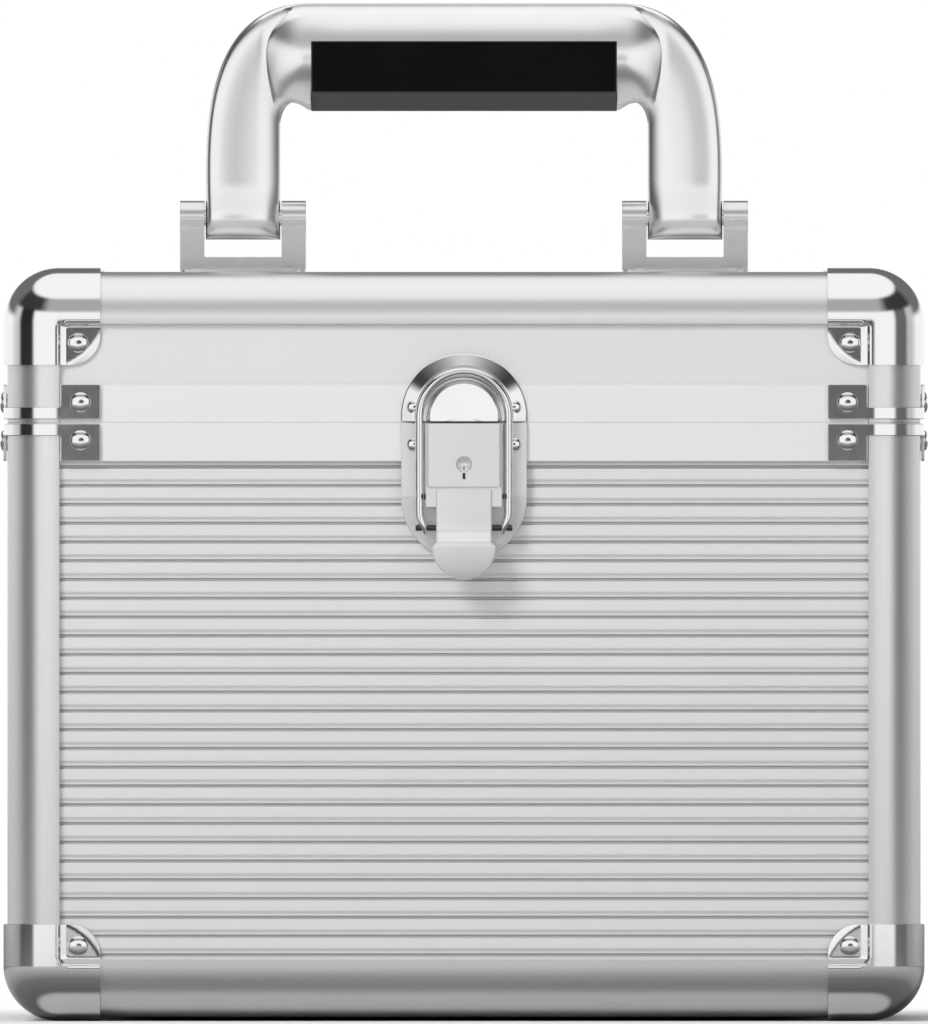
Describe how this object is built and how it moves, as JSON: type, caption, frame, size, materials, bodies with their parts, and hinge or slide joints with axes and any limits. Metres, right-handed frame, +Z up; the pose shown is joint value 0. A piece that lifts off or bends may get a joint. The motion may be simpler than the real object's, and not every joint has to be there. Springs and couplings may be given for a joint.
{
  "type": "hard drive protective case",
  "caption": "Small aluminium-framed carrying case with hinged lid, lockable draw latch, folding handle and slotted foam for bare hard drives.",
  "frame": {"origin": "on the ground under the middle of the closed case's whole outline", "axes": "+Z up, -Y towards the latched front, +X to the right seen from the front"},
  "size_m": [0.2348, 0.1544, 0.2581],
  "materials": {
    "profile": "satin",
    "ribbed_sheet": "satin",
    "smooth_sheet": "satin",
    "cap_chrome": "polished",
    "latch_chrome": "polished",
    "handle_metal": "satin",
    "fitting_steel": "satin",
    "grip_rubber": "satin",
    "foam": "matte"
  },
  "bodies": {
    "base": {"base_bottom_edge_front": "profile", "base_bottom_edge_right": "profile", "base_bottom_edge_back": "profile", "base_bottom_edge_left": "profile", "base_post_front_left": "profile", "base_post_front_right": "profile", "base_post_back_left": "profile", "base_post_back_right": "profile", "base_rim": "profile", "base_panel_front": "ribbed_sheet", "base_panel_right": "ribbed_sheet", "base_panel_back": "ribbed_sheet", "base_panel_left": "ribbed_sheet", "base_panel_bottom": "smooth_sheet", "base_cap_front_left": "cap_chrome", "base_cap_front_right": "cap_chrome", "base_cap_back_left": "cap_chrome", "base_cap_back_right": "cap_chrome", "base_brace_front_left": "cap_chrome", "base_brace_front_right": "cap_chrome", "base_brace_back_left": "cap_chrome", "base_brace_back_right": "cap_chrome", "drive_tray": "foam", "hinge_base_leaf": "fitting_steel", "hinge_pin": "fitting_steel", "latch_base_plate": "latch_chrome"},
    "lid": {"lid_top_edge_front": "profile", "lid_top_edge_right": "profile", "lid_top_edge_back": "profile", "lid_top_edge_left": "profile", "lid_post_front_left": "profile", "lid_post_front_right": "profile", "lid_post_back_left": "profile", "lid_post_back_right": "profile", "lid_rim": "profile", "lid_panel_front": "smooth_sheet", "lid_panel_right": "smooth_sheet", "lid_panel_back": "smooth_sheet", "lid_panel_left": "smooth_sheet", "lid_panel_top": "smooth_sheet", "lid_cap_front_left": "cap_chrome", "lid_cap_front_right": "cap_chrome", "lid_cap_back_left": "cap_chrome", "lid_cap_back_right": "cap_chrome", "lid_brace_front_left": "cap_chrome", "lid_brace_front_right": "cap_chrome", "lid_brace_back_left": "cap_chrome", "lid_brace_back_right": "cap_chrome", "lid_lining": "foam", "hinge_lid_leaf": "fitting_steel", "catch_plate": "latch_chrome", "handle_bracket_left": "fitting_steel", "handle_bracket_right": "fitting_steel", "handle_pin_left": "fitting_steel", "handle_pin_right": "fitting_steel"},
    "handle": {"handle_frame": "handle_metal", "handle_grip": "grip_rubber"},
    "lever": {"latch_lever": "latch_chrome"},
    "bail": {"latch_bail": "latch_chrome"},
    "key": {"key_barrel": "fitting_steel"}
  },
  "joints": [
    {"name": "lid_hinge", "type": "hinge", "parent": "base", "child": "lid", "pos_m": [0, 0.0748, 0.15165], "axis": [-1, 0, 0], "range_deg": [0, 100]},
    {"name": "handle_hinge", "type": "hinge", "parent": "lid", "child": "handle", "pos_m": [0, 0.0021, 0.2036], "axis": [1, 0, 0], "range_deg": [-90, 90]},
    {"name": "lever_hinge", "type": "hinge", "parent": "base", "child": "lever", "pos_m": [0, -0.0729, 0.1327], "axis": [-1, 0, 0], "range_deg": [0, 100]},
    {"name": "bail_hinge", "type": "hinge", "parent": "lever", "child": "bail", "pos_m": [0, -0.0717, 0.1247], "axis": [-1, 0, 0], "range_deg": [-122, 0]},
    {"name": "key_turn", "type": "hinge", "parent": "base", "child": "key", "pos_m": [0, -0.0729, 0.1408], "axis": [0, -1, 0], "range_deg": [0, 90]}
  ],
  "couplings": [
    {"joint": "bail_hinge", "follows": "lever_hinge", "ratio": -1.22}
  ]
}
